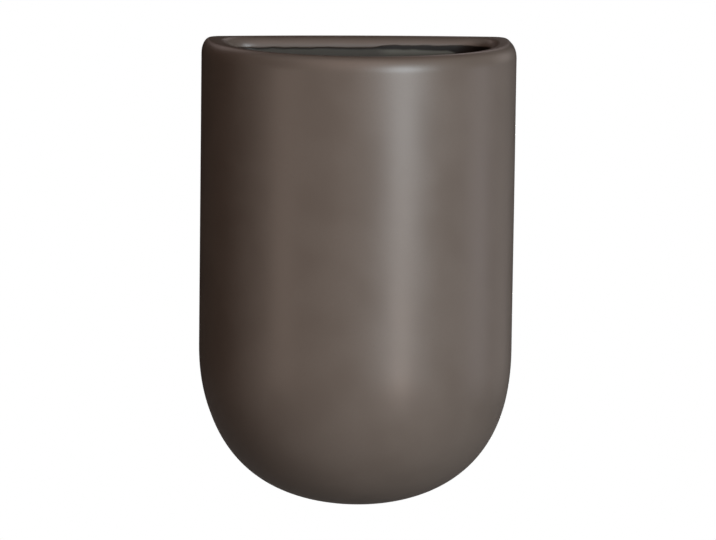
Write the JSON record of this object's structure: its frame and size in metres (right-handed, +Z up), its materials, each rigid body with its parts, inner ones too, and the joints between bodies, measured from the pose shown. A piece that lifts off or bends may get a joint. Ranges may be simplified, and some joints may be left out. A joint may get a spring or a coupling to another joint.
{
  "type": "hanging planter",
  "caption": "Wall-hung ceramic planter with a half-round front, flat back, rounded bottom and thick round rim, hung by keyholes on screws in wall plugs.",
  "frame": {"origin": "on the wall's face, midway between the axes of the two wall screws", "axes": "+Z up, +Y into the wall, +X to the right as seen from the front, so the pot's round front faces -Y"},
  "size_m": [0.15, 0.1305, 0.224],
  "materials": {
    "glaze": "satin-matt grey-brown glaze on stoneware",
    "screw_steel": "bright zinc plate",
    "plug_nylon": "moulded light grey nylon",
    "bumper_rubber": "pale grey rubber"
  },
  "bodies": {
    "wall_fixings": {"wall_plug_left": "plug_nylon", "wall_plug_right": "plug_nylon", "wall_screw_left": "screw_steel", "wall_screw_right": "screw_steel"},
    "planter": {"pot": "glaze", "bumper_upper_left": "bumper_rubber", "bumper_upper_right": "bumper_rubber", "bumper_lower_left": "bumper_rubber", "bumper_lower_right": "bumper_rubber"}
  },
  "joints": [
    {"name": "lift_off", "type": "slide", "parent": "wall_fixings", "child": "planter", "axis": [0, 0, 1], "range_m": [0, 0.01]}
  ]
}
